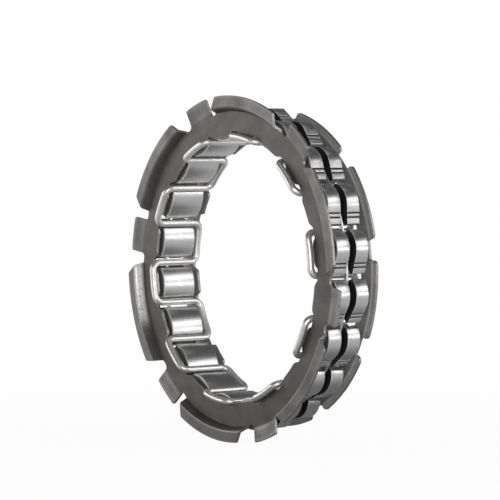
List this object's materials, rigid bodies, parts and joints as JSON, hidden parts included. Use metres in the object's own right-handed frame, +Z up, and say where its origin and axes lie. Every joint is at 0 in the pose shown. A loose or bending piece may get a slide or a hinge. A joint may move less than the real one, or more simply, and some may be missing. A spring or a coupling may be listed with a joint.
{
  "type": "sprag clutch",
  "caption": "One-way sprag clutch: tilting sprags held between a lipped front ring and a smaller back ring by a closed meander wire spring.",
  "frame": {"origin": "on the clutch axis, at the middle of the sprags' length", "axes": "+Y along the clutch axis, from the flanged front ring towards the back ring; +Z up, +X to the right seen from the front"},
  "size_m": [0.089, 0.0166, 0.0884],
  "materials": {
    "ring_steel": "matte dark grey steel sheet",
    "sprag_steel": "ground hardened steel with polished cams",
    "spring_wire": "bright drawn wire",
    "hoop_steel": "satin steel strip"
  },
  "bodies": {
    "cage": {"front_side_ring": "ring_steel", "back_side_ring": "ring_steel", "meander_spring": "spring_wire", "retaining_hoop": "hoop_steel"},
    "sprag_01": {"sprag_01": "sprag_steel"},
    "sprag_02": {"sprag_02": "sprag_steel"},
    "sprag_03": {"sprag_03": "sprag_steel"},
    "sprag_04": {"sprag_04": "sprag_steel"},
    "sprag_05": {"sprag_05": "sprag_steel"},
    "sprag_06": {"sprag_06": "sprag_steel"},
    "sprag_07": {"sprag_07": "sprag_steel"},
    "sprag_08": {"sprag_08": "sprag_steel"},
    "sprag_09": {"sprag_09": "sprag_steel"},
    "sprag_10": {"sprag_10": "sprag_steel"},
    "sprag_11": {"sprag_11": "sprag_steel"},
    "sprag_12": {"sprag_12": "sprag_steel"},
    "sprag_13": {"sprag_13": "sprag_steel"},
    "sprag_14": {"sprag_14": "sprag_steel"},
    "sprag_15": {"sprag_15": "sprag_steel"},
    "sprag_16": {"sprag_16": "sprag_steel"},
    "sprag_17": {"sprag_17": "sprag_steel"},
    "sprag_18": {"sprag_18": "sprag_steel"},
    "sprag_19": {"sprag_19": "sprag_steel"},
    "sprag_20": {"sprag_20": "sprag_steel"}
  },
  "joints": [
    {"name": "sprag_01_tip", "type": "hinge", "parent": "cage", "child": "sprag_01", "pos_m": [0.03676, 0, 0.00549], "axis": [0, -1, 0], "range_deg": [0, 4], "stiffness_Nm_per_rad": 0.005, "springref_deg": -17.19, "deforming": ["meander_spring"]},
    {"name": "sprag_02_tip", "type": "hinge", "parent": "cage", "child": "sprag_02", "pos_m": [0.03326, 0, 0.01658], "axis": [0, -1, 0], "range_deg": [0, 4], "stiffness_Nm_per_rad": 0.005, "springref_deg": -17.19},
    {"name": "sprag_03_tip", "type": "hinge", "parent": "cage", "child": "sprag_03", "pos_m": [0.02651, 0, 0.02605], "axis": [0, -1, 0], "range_deg": [0, 4], "stiffness_Nm_per_rad": 0.005, "springref_deg": -17.19},
    {"name": "sprag_04_tip", "type": "hinge", "parent": "cage", "child": "sprag_04", "pos_m": [0.01716, 0, 0.03297], "axis": [0, -1, 0], "range_deg": [0, 4], "stiffness_Nm_per_rad": 0.005, "springref_deg": -17.19},
    {"name": "sprag_05_tip", "type": "hinge", "parent": "cage", "child": "sprag_05", "pos_m": [0.00613, 0, 0.03666], "axis": [0, -1, 0], "range_deg": [0, 4], "stiffness_Nm_per_rad": 0.005, "springref_deg": -17.19},
    {"name": "sprag_06_tip", "type": "hinge", "parent": "cage", "child": "sprag_06", "pos_m": [-0.00549, 0, 0.03676], "axis": [0, -1, 0], "range_deg": [0, 4], "stiffness_Nm_per_rad": 0.005, "springref_deg": -17.19},
    {"name": "sprag_07_tip", "type": "hinge", "parent": "cage", "child": "sprag_07", "pos_m": [-0.01658, 0, 0.03326], "axis": [0, -1, 0], "range_deg": [0, 4], "stiffness_Nm_per_rad": 0.005, "springref_deg": -17.19},
    {"name": "sprag_08_tip", "type": "hinge", "parent": "cage", "child": "sprag_08", "pos_m": [-0.02605, 0, 0.02651], "axis": [0, -1, 0], "range_deg": [0, 4], "stiffness_Nm_per_rad": 0.005, "springref_deg": -17.19},
    {"name": "sprag_09_tip", "type": "hinge", "parent": "cage", "child": "sprag_09", "pos_m": [-0.03297, 0, 0.01716], "axis": [0, -1, 0], "range_deg": [0, 4], "stiffness_Nm_per_rad": 0.005, "springref_deg": -17.19},
    {"name": "sprag_10_tip", "type": "hinge", "parent": "cage", "child": "sprag_10", "pos_m": [-0.03666, 0, 0.00613], "axis": [0, -1, 0], "range_deg": [0, 4], "stiffness_Nm_per_rad": 0.005, "springref_deg": -17.19},
    {"name": "sprag_11_tip", "type": "hinge", "parent": "cage", "child": "sprag_11", "pos_m": [-0.03676, 0, -0.00549], "axis": [0, -1, 0], "range_deg": [0, 4], "stiffness_Nm_per_rad": 0.005, "springref_deg": -17.19},
    {"name": "sprag_12_tip", "type": "hinge", "parent": "cage", "child": "sprag_12", "pos_m": [-0.03326, 0, -0.01658], "axis": [0, -1, 0], "range_deg": [0, 4], "stiffness_Nm_per_rad": 0.005, "springref_deg": -17.19},
    {"name": "sprag_13_tip", "type": "hinge", "parent": "cage", "child": "sprag_13", "pos_m": [-0.02651, 0, -0.02605], "axis": [0, -1, 0], "range_deg": [0, 4], "stiffness_Nm_per_rad": 0.005, "springref_deg": -17.19},
    {"name": "sprag_14_tip", "type": "hinge", "parent": "cage", "child": "sprag_14", "pos_m": [-0.01716, 0, -0.03297], "axis": [0, -1, 0], "range_deg": [0, 4], "stiffness_Nm_per_rad": 0.005, "springref_deg": -17.19},
    {"name": "sprag_15_tip", "type": "hinge", "parent": "cage", "child": "sprag_15", "pos_m": [-0.00613, 0, -0.03666], "axis": [0, -1, 0], "range_deg": [0, 4], "stiffness_Nm_per_rad": 0.005, "springref_deg": -17.19},
    {"name": "sprag_16_tip", "type": "hinge", "parent": "cage", "child": "sprag_16", "pos_m": [0.00549, 0, -0.03676], "axis": [0, -1, 0], "range_deg": [0, 4], "stiffness_Nm_per_rad": 0.005, "springref_deg": -17.19},
    {"name": "sprag_17_tip", "type": "hinge", "parent": "cage", "child": "sprag_17", "pos_m": [0.01658, 0, -0.03326], "axis": [0, -1, 0], "range_deg": [0, 4], "stiffness_Nm_per_rad": 0.005, "springref_deg": -17.19},
    {"name": "sprag_18_tip", "type": "hinge", "parent": "cage", "child": "sprag_18", "pos_m": [0.02605, 0, -0.02651], "axis": [0, -1, 0], "range_deg": [0, 4], "stiffness_Nm_per_rad": 0.005, "springref_deg": -17.19},
    {"name": "sprag_19_tip", "type": "hinge", "parent": "cage", "child": "sprag_19", "pos_m": [0.03297, 0, -0.01716], "axis": [0, -1, 0], "range_deg": [0, 4], "stiffness_Nm_per_rad": 0.005, "springref_deg": -17.19},
    {"name": "sprag_20_tip", "type": "hinge", "parent": "cage", "child": "sprag_20", "pos_m": [0.03666, 0, -0.00613], "axis": [0, -1, 0], "range_deg": [0, 4], "stiffness_Nm_per_rad": 0.005, "springref_deg": -17.19}
  ],
  "couplings": [
    {"joint": "sprag_02_tip", "follows": "sprag_01_tip", "ratio": 1},
    {"joint": "sprag_03_tip", "follows": "sprag_01_tip", "ratio": 1},
    {"joint": "sprag_04_tip", "follows": "sprag_01_tip", "ratio": 1},
    {"joint": "sprag_05_tip", "follows": "sprag_01_tip", "ratio": 1},
    {"joint": "sprag_06_tip", "follows": "sprag_01_tip", "ratio": 1},
    {"joint": "sprag_07_tip", "follows": "sprag_01_tip", "ratio": 1},
    {"joint": "sprag_08_tip", "follows": "sprag_01_tip", "ratio": 1},
    {"joint": "sprag_09_tip", "follows": "sprag_01_tip", "ratio": 1},
    {"joint": "sprag_10_tip", "follows": "sprag_01_tip", "ratio": 1},
    {"joint": "sprag_11_tip", "follows": "sprag_01_tip", "ratio": 1},
    {"joint": "sprag_12_tip", "follows": "sprag_01_tip", "ratio": 1},
    {"joint": "sprag_13_tip", "follows": "sprag_01_tip", "ratio": 1},
    {"joint": "sprag_14_tip", "follows": "sprag_01_tip", "ratio": 1},
    {"joint": "sprag_15_tip", "follows": "sprag_01_tip", "ratio": 1},
    {"joint": "sprag_16_tip", "follows": "sprag_01_tip", "ratio": 1},
    {"joint": "sprag_17_tip", "follows": "sprag_01_tip", "ratio": 1},
    {"joint": "sprag_18_tip", "follows": "sprag_01_tip", "ratio": 1},
    {"joint": "sprag_19_tip", "follows": "sprag_01_tip", "ratio": 1},
    {"joint": "sprag_20_tip", "follows": "sprag_01_tip", "ratio": 1}
  ]
}
